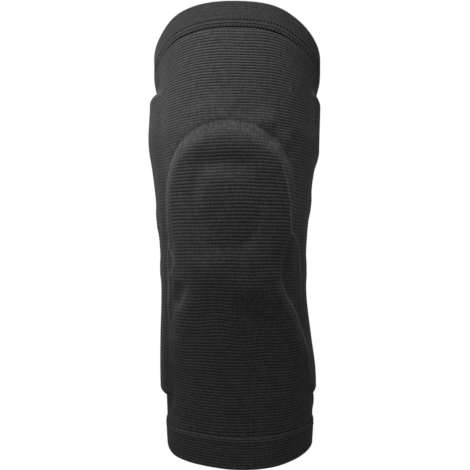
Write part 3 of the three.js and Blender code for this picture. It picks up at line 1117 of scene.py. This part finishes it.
def stitch_row(name, edge, depth, rows):
    """Stitches lying in the band between needle holes: a round thread that arches out of one hole
    and into the next, dipping and tapering with a power of the way out, closed at both ends."""
    sides = 6
    rings = 5
    outside = KNIT_WALL + SEAM_GAP + HEM_LAYER
    share = np.linspace(-STITCH["reach"], STITCH["reach"], rings)[:, None]
    out = (np.abs(share) / STITCH["reach"]) ** STITCH["power"]
    lift = STITCH["lift"] - STITCH["dip"] * out
    radius = STITCH["radius"] * np.sqrt(1 - STITCH["taper"] * out)
    round_turn = np.arange(sides) * math.tau / sides
    middle = -180 + 360 * (np.arange(STITCHES) + 0.5) / STITCHES
    turn = middle[:, None, None] + share * 360 / STITCHES
    grow = outside + lift + radius * np.cos(round_turn)
    places = []
    for row in rows:
        inwards = depth - row + radius * np.sin(round_turn) * STITCH["breadth"]
        z = from_edge(edge, turn, inwards * hem_share(depth, turn))
        places.append(on_leg(z, turn, grow))
    places = np.concatenate(places)
    i, j = np.meshgrid(np.arange(rings - 1), np.arange(sides), indexing="ij")
    on = (j + 1) % sides
    skin = np.stack([i * sides + j, i * sides + on, (i + 1) * sides + on, (i + 1) * sides + j], -1)
    near_end = np.array([[0, 3, 2, 1], [0, 5, 4, 3]])
    far_end = (rings - 1) * sides + np.array([[0, 1, 2, 3], [0, 3, 4, 5]])
    corners = np.concatenate([skin.reshape(-1, 4), near_end, far_end])
    faces = (np.arange(len(places))[:, None, None] * rings * sides + corners).reshape(-1, 4)
    corner_map = np.stack([(corners % sides) / sides, (corners // sides) / rings], -1)
    corner_map = np.tile(corner_map, (len(places), 1, 1))
    return mesh_object(name, places.reshape(-1, 3), faces, corner_map, [THREAD])


def rounding(share, form):
    """Share of a pad's thickness at a share of the way across it: the root of one less a power of the
    way out from its middle."""
    out = 2 * np.clip(share, form["margin"], 1 - form["margin"]) - 1
    return np.sqrt(1 - out ** form["power"])


def on_spoke(angle, radius):
    """Turn and height where a radius reaches one on each spoke out from the ring's centre."""
    across = np.cos(angle)
    along = np.sin(angle)
    reach = 1 / radius(RING["turn"] + across, RING["z"] + along)
    return RING["turn"] + across * reach, RING["z"] + along * reach


def kneecap_ring():
    """Padded ring: its upper face fills the room under the knit, its lower face lies on the leg, and
    both edges are rounded over."""
    spokes = RING_MESH["spokes"]
    angle = np.arange(spokes) * math.tau / spokes
    inner = on_spoke(angle, opening_radius)
    outer = on_spoke(angle, lambda turn, z: ring_radius(turn, z) / RING_OUTLINE)
    share = (1 - np.cos(np.linspace(0, np.pi, RING_MESH["steps"]))) / 2
    turn = inner[0] + (outer[0] - inner[0]) * share[:, None]
    z = inner[1] + (outer[1] - inner[1]) * share[:, None]
    room = drape(turn, z) - RING_GAP
    under = np.minimum(0, room - PAD_EDGE)
    full = np.maximum(rounding(share, RING_ROUNDING), RING_ROUNDING["least"])[:, None]
    middle = (room + under) / 2
    top = on_leg(z, turn, middle + (room - middle) * full)
    base = on_leg(z, turn, middle + (under - middle) * full)
    points = np.concatenate([top, base[::-1]])
    u = np.arange(spokes + 1) / spokes
    v = np.arange(len(points) + 1) / len(points)
    return grid_object("kneecap_ring_pad", points, u, v, True, [PAD_FOAM])


def side_stay(name, side):
    """Flat stay: a rounded strip under the raised knit of one side, its loops carried up the leg and
    drawn together at both ends."""
    along = np.linspace(0, 1, STAY_MESH["rows"])
    across = (1 - np.cos(np.linspace(0, np.pi, STAY_MESH["columns"]))) / 2
    low = STAY_BODY["bottom"]
    z = low + (STAY_BODY["top"] - low) * along[:, None]
    turn = side * (STAY_BODY["front"] + (STAY_BODY["back"] - STAY_BODY["front"]) * across)
    room = drape(turn, z) - STAY_GAP
    under = np.minimum(0, room - PAD_EDGE)
    middle = (room + under) / 2
    edge = rounding(across, STAY_ROUNDING)
    end = rounding(along, STAY_END_ROUNDING)[:, None]
    full = np.maximum(edge * end, STAY_ROUNDING["least"])
    top = on_leg(z, turn, middle + (room - middle) * full)
    base = on_leg(z, turn, middle + (under - middle) * full)
    loops = np.concatenate([top, base[:, ::-1]], axis=1)
    tips = [loops[:1].mean(1, keepdims=True), loops[-1:].mean(1, keepdims=True)]
    caps = [tip + (loop - tip) * STAY_TIP for tip, loop in zip(tips, (loops[:1], loops[-1:]))]
    points = np.concatenate([caps[0], loops, caps[1]])
    u = np.arange(points.shape[1] + 1) / points.shape[1]
    v = np.arange(len(points)) / len(points)
    return grid_object(name, points, u, v, False, [STAY_FOAM])


def area_light(name, power, size, spread, azimuth, elevation, distance, height):
    """Square soft light that faces a height on the leg's axis from an angle round and above it, its
    beam kept to a spread."""
    lamp = bpy.data.lights.new(name, "AREA")
    lamp.energy = power
    lamp.size = size
    lamp.spread = math.radians(spread)
    light = bpy.data.objects.new(name, lamp)
    a = math.radians(azimuth)
    e = math.radians(elevation)
    away = Vector((math.sin(a) * math.cos(e), -math.cos(a) * math.cos(e), math.sin(e)))
    light.location = Vector((0, 0, height)) + away * distance
    light.rotation_euler = (-away).to_track_quat("-Z", "Y").to_euler()
    light.visible_camera = False
    bpy.context.scene.collection.objects.link(light)


def studio():
    """Round pale floor far below, white surroundings that light the sleeve weakly, and the lights."""
    turn = np.arange(FLOOR_SIDES) * math.tau / FLOOR_SIDES
    rim = np.stack([np.cos(turn), np.sin(turn), np.zeros(FLOOR_SIDES)], -1)
    radius = np.array(FLOOR_RADII)[:, None, None]
    places = rim[None] * radius + np.array([0, 0, FLOOR_HEIGHT])
    u = np.arange(FLOOR_SIDES + 1) / FLOOR_SIDES
    v = np.arange(len(FLOOR_RADII) + 1) / len(FLOOR_RADII)
    floor = grid_object("studio_floor", places, u, v, False, [PALE_FLOOR])
    floor.data.flip_normals()

    world = bpy.data.worlds.new("white_surroundings")
    world.use_nodes = True
    nodes = world.node_tree.nodes
    links = world.node_tree.links
    nodes.clear()
    path = nodes.new("ShaderNodeLightPath")
    strength = nodes.new("ShaderNodeMapRange")
    strength.inputs["To Min"].default_value = AMBIENT
    strength.inputs["To Max"].default_value = 1.0
    background = nodes.new("ShaderNodeBackground")
    background.inputs["Color"].default_value = grey(1.0)
    output = nodes.new("ShaderNodeOutputWorld")
    links.new(path.outputs["Is Camera Ray"], strength.inputs["Value"])
    links.new(strength.outputs["Result"], background.inputs["Strength"])
    links.new(background.outputs["Background"], output.inputs["Surface"])
    bpy.context.scene.world = world

    for light in LIGHTS:
        area_light(**light)


def camera():
    """Level camera in front of the sleeve, at the height of the photograph's middle."""
    lens = bpy.data.cameras.new("camera")
    lens.sensor_width = SENSOR_WIDTH
    lens.lens = SENSOR_WIDTH * FOCAL_PIXELS / IMAGE_SIZE
    view = bpy.data.objects.new("camera", lens)
    view.location = (0, -CAMERA_DISTANCE, CAMERA_HEIGHT)
    view.rotation_euler = (math.pi / 2, 0, 0)
    bpy.context.scene.collection.objects.link(view)
    bpy.context.scene.camera = view


camera()
studio()
bpy.context.scene.view_settings.view_transform = "Standard"

sleeve = knit_sleeve()
upper_hem = hem_band(
    "upper_hem_band", TOP_EDGE, UPPER_HEM_DEPTH, UPPER_HEM, UPPER_TUCKS, UPPER_STITCH_ROWS, HEM_KNIT
)
lower_hem = hem_band("lower_hem_band", BOTTOM_EDGE, LOWER_HEM_DEPTH, LOWER_HEM, (), LOWER_STITCH_ROWS, KNIT)
upper_stitches = stitch_row("upper_hem_stitches", TOP_EDGE, UPPER_HEM_DEPTH, UPPER_STITCH_ROWS)
lower_stitches = stitch_row("lower_hem_stitches", BOTTOM_EDGE, LOWER_HEM_DEPTH, LOWER_STITCH_ROWS)
ring = kneecap_ring()
left_stay = side_stay("side_stay_pad_left", -1)
right_stay = side_stay("side_stay_pad_right", 1)

for piece, node, slot in (
    (sleeve, "sleeve_body", "knit"),
    (upper_hem, "upper_hem", "hem"),
    (lower_hem, "lower_hem", "hem"),
    (ring, "kneecap_ring", "pad"),
    (left_stay, "side_stay_left", "stay"),
    (right_stay, "side_stay_right", "stay"),
):
    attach(piece, "root")
    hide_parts(node)
for stitches in (upper_stitches, lower_stitches):
    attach(stitches, "root")
